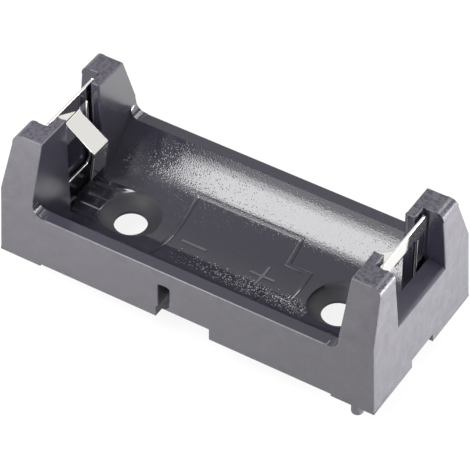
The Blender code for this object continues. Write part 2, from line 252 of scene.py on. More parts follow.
class ContactSettings(bpy.types.PropertyGroup):
    """Sizes and finish of the folded contacts"""

    edge_round: length_setting(
        name="Edge Round", description="How far the stamped sheet's edges are eased",
        default=0.00007, min=0.00001, max=0.0001)
    fold_height: length_setting(
        name="Fold Height", description="Height of the fold where the tongue leaves the plate",
        default=0.0127)
    metal_colour: colour_setting(
        name="Plating Colour", description="Colour of the nickel plating",
        default=(0.76, 0.745, 0.715, 1.0))
    roughness: FloatProperty(
        name="Roughness", description="Roughness of the plating", default=0.06, min=0.0, max=1.0,
        subtype="FACTOR")
    edge_roughness: FloatProperty(
        name="Edge Roughness", description="Roughness of the sheet's sheared edges", default=0.22,
        min=0.0, max=1.0, subtype="FACTOR")


class MarkSettings(bpy.types.PropertyGroup):
    """Sizes of the raised cell outline and signs in the trough"""

    ridge_height: length_setting(
        name="Ridge Height", description="How far the ridges stand above the trough",
        default=0.00009)
    ridge_sink: length_setting(
        name="Ridge Root", description="How deep the ridges are rooted in the trough",
        default=0.00006)
    ridge_width: length_setting(
        name="Ridge Width", description="Width of the outline's ridge",
        default=0.00048)
    body_start: length_setting(
        name="Outline Start", description="Where the cell outline starts, near the negative end",
        default=-0.0077)
    body_end: length_setting(
        name="Outline End", description="Where the cell outline's shoulder is",
        default=0.00545)
    body_half_width: length_setting(
        name="Outline Half Width", description="Half the width of the cell outline",
        default=0.0054)
    cap_length: length_setting(
        name="Cap Length", description="How far the outline's end cap reaches past its shoulder",
        default=0.0027)
    cap_half_width: length_setting(
        name="Cap Half Width", description="Half the width of the outline's end cap",
        default=0.0025)
    sign_length: length_setting(
        name="Sign Length", description="Length of the bars of the plus and minus signs",
        default=0.0030)
    sign_width: length_setting(
        name="Sign Width", description="Width of the bars of the plus and minus signs",
        default=0.00033)
    minus_middle: length_setting(
        name="Minus Middle", description="Place of the minus sign along the cell",
        default=-0.00465)
    plus_middle: length_setting(
        name="Plus Middle", description="Place of the plus sign along the cell",
        default=0.00375)
    sign_offset: length_setting(
        name="Sign Offset", description="Place of the signs across the cell",
        default=-0.00015)
    slice_length: length_setting(
        name="Slice Length", description="Length of the flat slices that follow the trough",
        default=0.0004)


class StageSettings(bpy.types.PropertyGroup):
    """Floor, lights and camera"""

    floor_size: length_setting(
        name="Floor Size", description="Side of the floor", default=2.4, precision=2)
    floor_colour: colour_setting(
        name="Floor Colour", description="Colour of the floor", default=(0.80, 0.80, 0.80, 1.0))
    floor_white: FloatProperty(
        name="Floor White", description="Share of the seen floor that is plain white, not shaded",
        default=0.85, min=0.0, max=1.0, subtype="FACTOR")
    light_level: FloatProperty(
        name="Light Level", description="Brightness of all softboxes together", default=1.0,
        min=0.0, subtype="FACTOR")
    sky_level: FloatProperty(
        name="Sky Level", description="Light that the white surroundings throw on the part",
        default=0.30, min=0.0, subtype="FACTOR")
    camera_lens: FloatProperty(
        name="Lens", description="Focal length of the camera, in millimetres", default=227.98,
        min=1.0, subtype="DISTANCE_CAMERA")


SETTINGS = (
    ("holder_housing", HousingSettings),
    ("holder_contacts", ContactSettings),
    ("holder_marks", MarkSettings),
    ("holder_stage", StageSettings),
)


# Small helpers

def deselect_all():
    """Leave edit mode and select nothing."""
    if bpy.context.object and bpy.context.object.mode != "OBJECT":
        bpy.ops.object.mode_set(mode="OBJECT")
    bpy.ops.object.select_all(action="DESELECT")


def make_active(piece):
    """Select one piece alone, for the operators that follow."""
    deselect_all()
    piece.select_set(True)
    bpy.context.view_layer.objects.active = piece


def apply_modifiers(piece):
    """Apply a piece's modifiers in their order."""
    make_active(piece)
    for modifier in list(piece.modifiers):
        bpy.ops.object.modifier_apply(modifier=modifier.name)


def place_in_mesh(piece):
    """Leave the object at the origin, unturned and unscaled, with its place in its mesh."""
    make_active(piece)
    bpy.ops.object.transform_apply(location=True, rotation=True, scale=True)


def merged_copy(node_name, piece_name):
    """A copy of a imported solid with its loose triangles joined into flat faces."""
    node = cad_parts[node_name]
    piece = bpy.data.objects.new(piece_name, node.data.copy())
    piece.data.name = piece_name
    bpy.context.scene.collection.objects.link(piece)
    piece.data.materials.clear()
    make_active(piece)
    bpy.ops.object.mode_set(mode="EDIT")
    bpy.ops.mesh.select_all(action="SELECT")
    bpy.ops.mesh.remove_doubles(threshold=MERGE_DISTANCE)
    bpy.ops.mesh.dissolve_limited(angle_limit=FLAT_ANGLE)
    bpy.ops.object.mode_set(mode="OBJECT")
    return piece


def mark_long_edges(piece, width, angle, is_eased):
    """Mark the long outer edges for rounding, and stop each short of a crowded corner."""
    mesh = bmesh.new()
    mesh.from_mesh(piece.data)
    weight = mesh.edges.layers.float.new("bevel_weight_edge")
    chosen = [edge for edge in mesh.edges
              if edge.calc_length() > SHORTEST_EASED * width
              and edge.calc_face_angle_signed() > angle
              and is_eased((edge.verts[0].co + edge.verts[1].co) / 2)]
    eased = set(chosen)

    def is_crowded(corner):
        return any(edge not in eased and (edge.calc_length() < SHORTEST_FREE * width
                                          or abs(edge.calc_face_angle_signed()) > angle)
                   for edge in corner.link_edges)

    crowded = [(edge, [corner for corner in edge.verts if is_crowded(corner)]) for edge in chosen]
    for edge, corners_met in crowded:
        edge[weight] = 1.0
        for corner in corners_met:
            end = bmesh.utils.edge_split(edge, corner, RUN_OUT * width / edge.calc_length())[0]
            if corner in edge.verts:
                end, edge = edge, end
            end[weight] = 0.0
            edge[weight] = 1.0
    mesh.to_mesh(piece.data)
    mesh.free()


def ease_edges(piece, width, steps, angle=EDGE_ANGLE, finish=-1, is_eased=None):
    """Round the sharp edges, or only the long outer ones that pass a test. The rounded strips
    keep their neighbours' finish unless one is given."""
    bevel = piece.modifiers.new("Eased edges", "BEVEL")
    bevel.width = width
    bevel.segments = steps
    bevel.limit_method = "ANGLE"
    bevel.angle_limit = angle
    if is_eased is not None:
        mark_long_edges(piece, width, angle, is_eased)
        bevel.limit_method = "WEIGHT"
    bevel.miter_outer = "MITER_ARC"
    bevel.use_clamp_overlap = is_eased is None
    bevel.material = finish
    apply_modifiers(piece)


def smooth_faces(piece):
    """Shade the curved faces smoothly and keep the flat ones flat."""
    make_active(piece)
    bpy.ops.object.shade_smooth_by_angle(angle=SMOOTH_ANGLE)
    weighted = piece.modifiers.new("Weighted normals", "WEIGHTED_NORMAL")
    weighted.keep_sharp = True
    weighted.weight = FLAT_FACE_WEIGHT
    apply_modifiers(piece)


def link(tree, start, end):
    """Join a node's output to another's input."""
    tree.links.new(start, end)


def add_node(tree, kind, place, **values):
    """Add a node at a place in its tree, with some of its own values set."""
    node = tree.nodes.new(kind)
    node.location = place
    for name, value in values.items():
        setattr(node, name, value)
    return node


def feed(tree, node, values):
    """Link or set a node's inputs, given by name or number, to outputs or plain values."""
    for key, value in values.items():
        if isinstance(value, bpy.types.NodeSocket):
            link(tree, value, node.inputs[key])
        else:
            node.inputs[key].default_value = value


def calculate(tree, place, operation, *values, **own_values):
    """The result of a Math node that takes outputs or plain numbers."""
    node = add_node(tree, "ShaderNodeMath", place, operation=operation, **own_values)
    feed(tree, node, dict(enumerate(values)))
    return node.outputs[0]


def seen_ray(tree, place, glossy_share=1.0):
    """1 for rays that show the background itself, past or in the object, and 0 for its light."""
    x, y = place
    path = add_node(tree, "ShaderNodeLightPath", place)
    shiny = calculate(tree, (x + 200, y - 150), "MULTIPLY", path.outputs["Is Glossy Ray"],
                      glossy_share)
    seen = calculate(tree, (x + 350, y), "MAXIMUM", path.outputs["Is Camera Ray"], shiny)
    return calculate(tree, (x + 500, y), "MAXIMUM", seen, path.outputs["Is Transmission Ray"])


# Materials

def group_socket(group, name, in_out, value=None, low=None, high=None):
    """Add a number that a node group takes or gives, with its default and limits where given."""
    socket = group.interface.new_socket(name=name, in_out=in_out, socket_type="NodeSocketFloat")
    for key, number in (("default_value", value), ("min_value", low), ("max_value", high)):
        if number is not None:
            setattr(socket, key, number)


def spark_grain_group():
    """Grain of a mould face: a height for Bump, a tint for the colour and a change of gloss."""
    name = "Spark Grain"
    if name in bpy.data.node_groups:
        return bpy.data.node_groups[name]
    group = bpy.data.node_groups.new(name, "ShaderNodeTree")
    group_socket(group, "Grain Scale", "INPUT", value=6000.0, low=0.0, high=100000.0)
    group_socket(group, "Cloud Scale", "INPUT", value=500.0, low=0.0, high=10000.0)
    group_socket(group, "Cloud Amount", "INPUT", value=0.15, low=0.0, high=1.0)
    group_socket(group, "Speckle Amount", "INPUT", value=0.5, low=0.0, high=2.0)
    group_socket(group, "Pit Scale", "INPUT", value=4600.0, low=0.0, high=100000.0)
    group_socket(group, "Pit Depth", "INPUT", value=0.0, low=0.0, high=20.0)
    for output in ("Height", "Tint", "Gloss Change"):
        group_socket(group, output, "OUTPUT")
    start = add_node(group, "NodeGroupInput", (-900, 0))
    end = add_node(group, "NodeGroupOutput", (600, 0))
    place = add_node(group, "ShaderNodeTexCoord", (-900, 300)).outputs["Object"]
    grain = add_node(group, "ShaderNodeTexNoise", (-600, 300))
    feed(group, grain, {"Vector": place, "Scale": start.outputs["Grain Scale"], "Detail": 2.0,
                        "Roughness": 0.6})
    cells = add_node(group, "ShaderNodeTexVoronoi", (-600, 50), feature="SMOOTH_F1")
    feed(group, cells, {"Vector": place, "Scale": start.outputs["Grain Scale"],
                        "Smoothness": 0.6})
    height = calculate(group, (-250, 250), "ADD", grain.outputs["Fac"],
                       cells.outputs["Distance"])

    # Some of the cells of a coarser pattern are pits
    pits = add_node(group, "ShaderNodeTexVoronoi", (-600, 600))
    feed(group, pits, {"Vector": place, "Scale": start.outputs["Pit Scale"]})
    chance = add_node(group, "ShaderNodeSeparateColor", (-400, 750))
    link(group, pits.outputs["Color"], chance.inputs["Color"])
    dented = calculate(group, (-200, 750), "GREATER_THAN", chance.outputs["Red"], PLAIN_SHARE)
    wall = add_node(group, "ShaderNodeMapRange", (-400, 550), interpolation_type="SMOOTHSTEP")
    feed(group, wall, {"Value": pits.outputs["Distance"], "From Max": PIT_RADIUS, "To Min": 1.0,
                       "To Max": 0.0})
    dent = calculate(group, (0, 650), "MULTIPLY", wall.outputs["Result"], dented)
    depth = calculate(group, (150, 550), "MULTIPLY", dent, start.outputs["Pit Depth"])
    link(group, calculate(group, (300, 350), "SUBTRACT", height, depth), end.inputs["Height"])

    # Clouds change the gloss, and clouds and grain together change the colour
    clouds = add_node(group, "ShaderNodeTexNoise", (-600, -250))
    feed(group, clouds, {"Vector": place, "Scale": start.outputs["Cloud Scale"], "Detail": 4.0})
    centred = calculate(group, (-350, -250), "SUBTRACT", clouds.outputs["Fac"], NOISE_MIDDLE)
    change = calculate(group, (-150, -250), "MULTIPLY", centred, start.outputs["Cloud Amount"])
    link(group, change, end.inputs["Gloss Change"])
    grains = calculate(group, (-350, 50), "SUBTRACT", grain.outputs["Fac"], NOISE_MIDDLE)
    speckle = calculate(group, (-150, 50), "MULTIPLY_ADD", grains,
                        start.outputs["Speckle Amount"], 1.0)
    tint = calculate(group, (100, -100), "MULTIPLY_ADD", change, CLOUD_TINT, speckle)
    link(group, tint, end.inputs["Tint"])
    return group


def painted_glint_group():
    """Painted glints: bright specks painted into the colour in a band along the trough."""
    name = "Glint Specks"
    if name in bpy.data.node_groups:
        return bpy.data.node_groups[name]
    group = bpy.data.node_groups.new(name, "ShaderNodeTree")
    group_socket(group, "Speck Scale", "INPUT", value=10500.0, low=0.0, high=100000.0)
    group_socket(group, "Band Middle", "INPUT", value=-0.0027)
    group_socket(group, "Band Width", "INPUT", value=0.0017, low=0.0001)
    group_socket(group, "Band Start", "INPUT", value=-0.0085)
    group_socket(group, "Band End", "INPUT", value=0.0105)
    group_socket(group, "Speck", "OUTPUT")
    start = add_node(group, "NodeGroupInput", (-1100, 0))
    end = add_node(group, "NodeGroupOutput", (700, 0))
    place = add_node(group, "ShaderNodeTexCoord", (-1100, 350)).outputs["Object"]
    apart = add_node(group, "ShaderNodeSeparateXYZ", (-850, 150))
    link(group, place, apart.inputs["Vector"])

    # The band is densest along its middle, and gets denser along X up to its end
    off = calculate(group, (-600, 0), "SUBTRACT", apart.outputs["Y"],
                    start.outputs["Band Middle"])
    away = calculate(group, (-450, 0), "ABSOLUTE", off)
    across = add_node(group, "ShaderNodeMapRange", (-300, 0))
    feed(group, across, {"Value": away, "From Min": 0.0, "From Max": start.outputs["Band Width"],
                         "To Min": SPECK_SHARE, "To Max": 0.0})
    along = add_node(group, "ShaderNodeMapRange", (-300, -300), interpolation_type="SMOOTHSTEP")
    feed(group, along, {"Value": apart.outputs["X"], "From Min": start.outputs["Band Start"],
                        "From Max": start.outputs["Band End"]})
    dense = calculate(group, (-50, -150), "MULTIPLY", across.outputs["Result"],
                      along.outputs["Result"])
    ends = calculate(group, (-50, -450), "LESS_THAN", apart.outputs["X"],
                     start.outputs["Band End"])
    inside = calculate(group, (120, -250), "MULTIPLY", dense, ends)

    # A small spot in the middle of each chosen cell, each of its own brightness
    cells = add_node(group, "ShaderNodeTexVoronoi", (-850, 450))
    feed(group, cells, {"Vector": place, "Scale": start.outputs["Speck Scale"]})
    chance = add_node(group, "ShaderNodeSeparateColor", (-600, 500))
    link(group, cells.outputs["Color"], chance.inputs["Color"])
    chosen = calculate(group, (250, 300), "LESS_THAN", chance.outputs["Red"], inside)
    small = calculate(group, (-300, 400), "LESS_THAN", cells.outputs["Distance"], SPECK_RADIUS)
    speck = calculate(group, (450, 200), "MULTIPLY", chosen, small)
    shine = calculate(group, (600, 200), "MULTIPLY", speck, chance.outputs["Green"])
    link(group, shine, end.inputs["Speck"])
    return group


def ramp_along(tree, place, start, end, low, high, mirrored=False):
    """A value that goes from low to high along X, or outwards from the middle if mirrored."""
    x, y = place
    spot = add_node(tree, "ShaderNodeTexCoord", place)
    apart = add_node(tree, "ShaderNodeSeparateXYZ", (x + 180, y))
    link(tree, spot.outputs["Object"], apart.inputs["Vector"])
    along = apart.outputs["X"]
    if mirrored:
        along = calculate(tree, (x + 340, y), "ABSOLUTE", along)
    ramp = add_node(tree, "ShaderNodeMapRange", (x + 500, y), interpolation_type="SMOOTHSTEP")
    feed(tree, ramp, {"Value": along, "From Min": start, "From Max": end, "To Min": low,
                      "To Max": high})
    return ramp.outputs["Result"]


def paint_over(material, share, colour):
    """Mix a colour over a plastic's own, by a share that varies over the surface."""
    tree = material.node_tree
    shader = tree.nodes["Principled BSDF"]
    base = shader.inputs["Base Color"].links[0].from_socket
    mixed = add_node(tree, "ShaderNodeMix", (250, 350), data_type="RGBA")
    feed(tree, mixed, {"Factor": share, "A": base, "B": colour})
    link(tree, mixed.outputs["Result"], shader.inputs["Base Color"])


def fade_outwards(material, colour, start, end):
    """Fade a plastic's colour into another one towards the end faces."""
    share = ramp_along(material.node_tree, (-500, 600), start, end, 0.0, 1.0, mirrored=True)
    paint_over(material, share, colour)


def add_painted_glints(material, brightness):
    """Mix the painted glints, bright specks, over a plastic's colour."""
    specks = add_node(material.node_tree, "ShaderNodeGroup", (-500, 500))
    specks.node_tree = painted_glint_group()
    paint_over(material, specks.outputs["Speck"], (brightness, brightness, brightness, 1.0))


def plastic_material(name, colour, grain_size, roughness, bump, clouds, ior=1.5, specular=0.5):
    """Glass-filled black plastic as one face of the mould leaves it, with the strength and the
    distance of its bump, and the scale and the amount of its clouds."""
    material = bpy.data.materials.new(name)
    material.use_nodes = True
    material.diffuse_color = colour
    tree = material.node_tree
    shader = tree.nodes["Principled BSDF"]
    shader.location = (500, 0)
    grain = add_node(tree, "ShaderNodeGroup", (-500, 0), name="Spark Grain")
    grain.node_tree = spark_grain_group()
    feed(tree, grain, {"Grain Scale": 1.0 / grain_size, "Cloud Scale": clouds[0],
                       "Cloud Amount": clouds[1]})
    tinted = add_node(tree, "ShaderNodeMix", (0, 250), data_type="RGBA", blend_type="MULTIPLY")
    feed(tree, tinted, {"Factor": 1.0, "A": colour, "B": grain.outputs["Tint"]})
    rough = calculate(tree, (0, 0), "ADD", grain.outputs["Gloss Change"], roughness,
                      use_clamp=True)
    bumps = add_node(tree, "ShaderNodeBump", (200, -250))
    feed(tree, bumps, {"Strength": bump[0], "Distance": bump[1],
                       "Height": grain.outputs["Height"]})
    feed(tree, shader, {"Metallic": 0.0, "IOR": ior, "Specular IOR Level": specular,
                        "Base Color": tinted.outputs["Result"], "Roughness": rough,
                        "Normal": bumps.outputs["Normal"]})
    return material


def plating_material(name, settings, roughness):
    """Nickel plate over rolled sheet, with faint lines along the roll."""
    material = bpy.data.materials.new(name)
    material.use_nodes = True
    material.diffuse_color = settings.metal_colour
    tree = material.node_tree
    shader = tree.nodes["Principled BSDF"]
    shader.location = (500, 0)
    place = add_node(tree, "ShaderNodeTexCoord", (-900, 0))
    stretch = add_node(tree, "ShaderNodeMapping", (-700, 0))
    feed(tree, stretch, {"Vector": place.outputs["Object"], "Scale": ROLL_LINES})
    lines = add_node(tree, "ShaderNodeTexNoise", (-450, 0))
    feed(tree, lines, {"Vector": stretch.outputs["Vector"], "Scale": 1.0, "Detail": 3.0})
    rough = add_node(tree, "ShaderNodeMapRange", (-100, 0))
    feed(tree, rough, {"Value": lines.outputs["Fac"], "To Min": roughness - ROLL_CHANGE,
                       "To Max": roughness + ROLL_CHANGE})
    bumps = add_node(tree, "ShaderNodeBump", (200, -250))
    feed(tree, bumps, {"Strength": 0.05, "Distance": 0.00001, "Height": lines.outputs["Fac"]})
    feed(tree, shader, {"Base Color": settings.metal_colour, "Metallic": 1.0,
                        "Roughness": rough.outputs["Result"],
                        "Normal": bumps.outputs["Normal"]})
    return material


def housing_finish(settings):
    """The finishes that the mould leaves, in the order of the material slots."""
    grain_size = settings.grain_size
    outside = plastic_material("textured_plastic", settings.outside_colour, grain_size,
                               roughness=0.55, bump=(0.35, 0.00003), clouds=(900.0, 0.30))
    polished = plastic_material("polished_plastic", settings.polished_colour, grain_size,
                                roughness=0.09, bump=(0.40, 0.00001), clouds=(600.0, 0.05))
    tree = polished.node_tree
    depth = ramp_along(tree, (-1200, 0), PITS_START, PITS_STOP, DEEP_PITS, SHALLOW_PITS)
    feed(tree, tree.nodes["Spark Grain"], {"Pit Depth": depth})
    add_painted_glints(polished, brightness=0.9)
    top = plastic_material("dragged_plastic", settings.top_colour, grain_size,
                           roughness=0.30, bump=(0.12, 0.00002), clouds=(2800.0, 0.95))
    feed(top.node_tree, top.node_tree.nodes["Spark Grain"], {"Speckle Amount": 1.8})
    wall = plastic_material("burnished_plastic", settings.polished_colour, grain_size,
                            roughness=0.22, bump=(0.20, 0.00001), clouds=(600.0, 0.10), ior=2.35)
    # Painted shade: recesses, slots and ridge sides get a darker colour for the shade in them
    recess = plastic_material("painted_shade_plastic", settings.recess_shade_colour, grain_size,
                              roughness=0.55, bump=(0.20, 0.00001), clouds=(600.0, 0.10),
                              specular=0.25)
    edge = plastic_material("edge_plastic", settings.outside_colour, grain_size,
                            roughness=0.30, bump=(0.20, 0.00001), clouds=(600.0, 0.20))
    sill = plastic_material("sill_plastic", settings.polished_colour, grain_size,
                            roughness=0.45, bump=(0.30, 0.00003), clouds=(900.0, 0.30),
                            specular=0.2)
    # Sill fade: partly the change of finish, partly painted light on the sill's rounding
    fade_outwards(sill, settings.outside_colour, HOUSING_HIGH.x - SILL_FADE_DEPTH,
                  HOUSING_HIGH.x + SILL_FADE_PAST)
    return outside, polished, top, wall, recess, edge, sill


# Pieces

class BATTERY_HOLDER_OT_mould_housing(bpy.types.Operator):
    """Ease the edges of the moulded housing and give each face of the mould its finish"""

    bl_idname = "battery_holder.mould_housing"
    bl_label = "Mould Housing"
    bl_options = {"REGISTER", "UNDO"}

    def execute(self, context):
        settings = context.scene.holder_housing
        housing = merged_copy("housing", "moulded_housing")
        for material in housing_finish(settings):
            housing.data.materials.append(material)
        for face in housing.data.polygons:
            face.material_index = self.finish_of(face, settings)
        ease_edges(housing, settings.edge_round, settings.edge_steps, finish=EDGE,
                   is_eased=lambda middle: self.is_eased(middle, settings))
        for face in housing.data.polygons:
            if face.material_index == EDGE and face.center.z > HOUSING_HIGH.z - TOWER_DEPTH:
                face.material_index = OUTSIDE
        smooth_faces(housing)
        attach(housing, "root")
        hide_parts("housing")
        return {"FINISHED"}

    @staticmethod
    def is_eased(middle, settings):
        """Only outer edges are rounded: the cell's bed, its rims' inner edges, the sills of the
        end windows and the skirt's lower edges stay crisp."""
        if (abs(middle.y) < settings.window_side - WINDOW_CLEARANCE
                and middle.z < settings.trough_axis):
            return False
        near_outside = (abs(middle.y) > HOUSING_HIGH.y - SKIN_DEPTH
                        or abs(middle.x) > HOUSING_HIGH.x - SKIN_DEPTH)
        return (middle.z > settings.rim_height + RIM_CLEARANCE
                or near_outside and middle.z > settings.skirt_top)

    @staticmethod
    def finish_of(face, settings):
        """Which finish of the mould a face has, from where it is and where it looks."""
        x, y, z = (abs(face.center.x), abs(face.center.y), face.center.z)
        margin = 2 * settings.edge_round
        from_axis = math.hypot(y, z - settings.trough_axis)
        from_screw = math.hypot(x - settings.screw_place, y)
        if z > HOUSING_HIGH.z - TOP_DEPTH and face.normal.z > TOP_SQUARE:
            return TOP
        # The skirt's slots and the screw recesses get the painted shade
        if abs(x - settings.slot_place) < settings.slot_half and z < settings.rim_height - margin:
            if HOUSING_HIGH.y - SKIRT_SLOT_DEPTH < y < HOUSING_HIGH.y - HAIR:
                return RECESS
        if (from_screw < settings.screw_head and z > RECESS_LOWEST
                and face.normal.z > RECESS_SQUARE):
            return RECESS
        if x < settings.cell_end + margin and z > BED_LOWEST:
            if x > settings.cell_end - margin and abs(face.normal.x) > SQUARE:
                return WALL
            if from_axis < settings.trough_radius + margin:
                return POLISHED
            if z > settings.rim_height - margin and face.normal.z > SQUARE:
                return POLISHED
        if x > settings.cell_end and y < settings.window_side + margin and z > SILL_LOWEST:
            if face.normal.z > SQUARE:
                return SILL
            if x < HOUSING_HIGH.x - WINDOW_DEPTH:
                return POLISHED
        return OUTSIDE


class BATTERY_HOLDER_OT_plate_contacts(bpy.types.Operator):
    """Ease the stamped edges of both contacts and plate them with nickel"""

    bl_idname = "battery_holder.plate_contacts"
    bl_label = "Plate Contacts"
    bl_options = {"REGISTER", "UNDO"}

    def execute(self, context):
        settings = context.scene.holder_contacts
        plating = plating_material("nickel_plate", settings, settings.roughness)
        sheared = plating_material("sheared_edge", settings, settings.edge_roughness)
        for node_name, piece_name in (("contact_negative", "negative_spring"),
                                      ("contact_positive", "positive_spring")):
            contact = merged_copy(node_name, piece_name)
            contact.data.materials.append(plating)
            contact.data.materials.append(sheared)
            ease_edges(contact, settings.edge_round, CONTACT_STEPS, finish=SHEARED,
                       is_eased=lambda middle: self.is_off_fold(middle, settings))
            smooth_faces(contact)
            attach(contact, "root")
            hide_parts(node_name)
        return {"FINISHED"}

    @staticmethod
    def is_off_fold(middle, settings):
        """Whether an edge keeps clear of the fold where the tongue leaves the plate."""
        return abs(middle.z - settings.fold_height) > FOLD_CLEARANCE


class BATTERY_HOLDER_OT_raise_marks(bpy.types.Operator):
    """Raise the cell outline with its plus and minus signs out of the trough"""

    bl_idname = "battery_holder.raise_marks"
    bl_label = "Raise Polarity Marks"
    bl_options = {"REGISTER", "UNDO"}

    def execute(self, context):
        settings = context.scene.holder_marks
        housing = bpy.data.objects.get("moulded_housing")
        if housing is None:
            raise RuntimeError("Mould the housing before its marks")
        pieces = (
            self.cell_outline(settings),
            self.sign("minus_sign", settings, settings.minus_middle, False),
            self.sign("plus_sign", settings, settings.plus_middle, True),
        )
        for piece in pieces:
            self.raise_from_trough(piece, housing, settings)
            finish = "polished_plastic" if piece.name == "cell_outline" else "textured_plastic"
            piece.data.materials.append(bpy.data.materials[finish])
            # The second slot is painted shade, for the ridge's sides
            piece.data.materials.append(bpy.data.materials["painted_shade_plastic"])
            for face in piece.data.polygons:
                if piece.name == "cell_outline" and face.normal.z < RIDGE_SQUARE:
                    face.material_index = RIDGE_SIDE
            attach(piece, "root")
        return {"FINISHED"}

    @staticmethod
    def flat_plate(name, middle, length, width):
        """A flat plate above the trough, which is shaped before it is dropped onto it."""
        deselect_all()
        bpy.ops.mesh.primitive_plane_add(size=1.0, location=(middle, 0, HOUSING_HIGH.z))
        piece = bpy.context.object
        piece.name = name
        piece.data.name = name
        piece.scale = (length, width, 1.0)
        place_in_mesh(piece)
        return piece

    @staticmethod
    def cut_across(axis, place):
        """Cut all faces by a plane across an axis."""
        bpy.ops.mesh.select_all(action="SELECT")
        point = [0.0, 0.0, 0.0]
        normal = [0.0, 0.0, 0.0]
        point["XY".index(axis)] = place
        normal["XY".index(axis)] = 1.0
        bpy.ops.mesh.bisect(plane_co=point, plane_no=normal)

    @staticmethod
    def select_edges(piece, test):
        """Select the edges whose middle passes the test, in edit mode."""
        bpy.ops.mesh.select_all(action="DESELECT")
        bpy.ops.mesh.select_mode(type="EDGE")
        bpy.ops.object.mode_set(mode="OBJECT")
        points = piece.data.vertices
        for edge in piece.data.edges:
            middle = (points[edge.vertices[0]].co + points[edge.vertices[1]].co) / 2
            edge.select = test(middle)
        bpy.ops.object.mode_set(mode="EDIT")

    def slice_up(self, piece, low, high, settings):
        """Cut the flat shape into slices narrow enough to follow the trough."""
        count = math.ceil((high - low) / settings.slice_length)
        for index in range(1, count):
            self.cut_across("Y", low + (high - low) * index / count)

    def cell_outline(self, settings):
        """A rectangle with an end cap, drawn as one closed ridge."""
        length = settings.body_end - settings.body_start
        middle = (settings.body_end + settings.body_start) / 2
        piece = self.flat_plate("cell_outline", middle, length, 2 * settings.body_half_width)
        bpy.ops.object.mode_set(mode="EDIT")
        for side in (-1, 1):
            self.cut_across("Y", side * settings.cap_half_width)
        self.select_edges(piece, lambda point: point.x > settings.body_end - HAIR
                          and abs(point.y) < settings.cap_half_width - HAIR)
        bpy.ops.mesh.extrude_region_move(
            TRANSFORM_OT_translate={"value": (settings.cap_length, 0, 0)})
        bpy.ops.mesh.select_mode(type="FACE")
        bpy.ops.mesh.select_all(action="SELECT")
        bpy.ops.mesh.dissolve_faces()
        bpy.ops.mesh.inset(thickness=settings.ridge_width)
        bpy.ops.mesh.delete(type="FACE")
        self.slice_up(piece, -settings.body_half_width, settings.body_half_width, settings)
        bpy.ops.object.mode_set(mode="OBJECT")
        return piece

    def sign(self, name, settings, middle, crossed):
        """A bar along the cell, with a second bar across it for the plus."""
        half_width = settings.sign_width / 2
        piece = self.flat_plate(name, middle, settings.sign_length, settings.sign_width)
        bpy.ops.object.mode_set(mode="EDIT")
        if crossed:
            for side in (-1, 1):
                self.cut_across("X", middle + side * half_width)
            reach = settings.sign_length / 2 - half_width
            for side in (-1, 1):
                self.select_edges(piece, lambda point: point.y * side > half_width - HAIR
                                  and abs(point.x - middle) < half_width / 2)
                bpy.ops.mesh.extrude_region_move(
                    TRANSFORM_OT_translate={"value": (0, side * reach, 0)})
            self.slice_up(piece, -settings.sign_length / 2, settings.sign_length / 2, settings)
        bpy.ops.object.mode_set(mode="OBJECT")
        piece.location.y = settings.sign_offset - (settings.sign_width / 2 if crossed else 0.0)
        place_in_mesh(piece)
        return piece

    @staticmethod
    def raise_from_trough(piece, housing, settings):
        """Drop a flat shape onto the trough and make an eased ridge of it."""
        wrap = piece.modifiers.new("On the trough", "SHRINKWRAP")
        wrap.target = housing
        wrap.wrap_method = "PROJECT"
        wrap.use_project_z = True
        wrap.use_negative_direction = True
        wrap.use_positive_direction = False
        apply_modifiers(piece)
        bpy.ops.object.mode_set(mode="EDIT")
        bpy.ops.mesh.select_all(action="SELECT")
        bpy.ops.mesh.remove_doubles(threshold=MERGE_DISTANCE)
        bpy.ops.mesh.normals_make_consistent(inside=False)
        bpy.ops.object.mode_set(mode="OBJECT")
        if sum(face.normal.z for face in piece.data.polygons) < 0:
            bpy.ops.object.mode_set(mode="EDIT")
            bpy.ops.mesh.flip_normals()
            bpy.ops.object.mode_set(mode="OBJECT")
        thickness = settings.ridge_height + settings.ridge_sink
        wall = piece.modifiers.new("Ridge", "SOLIDIFY")
        wall.thickness = thickness
        wall.offset = (settings.ridge_height - settings.ridge_sink) / thickness
        apply_modifiers(piece)
        ease_edges(piece, settings.ridge_height / 2, RIDGE_STEPS, RIDGE_ANGLE)
        smooth_faces(piece)


# Stage

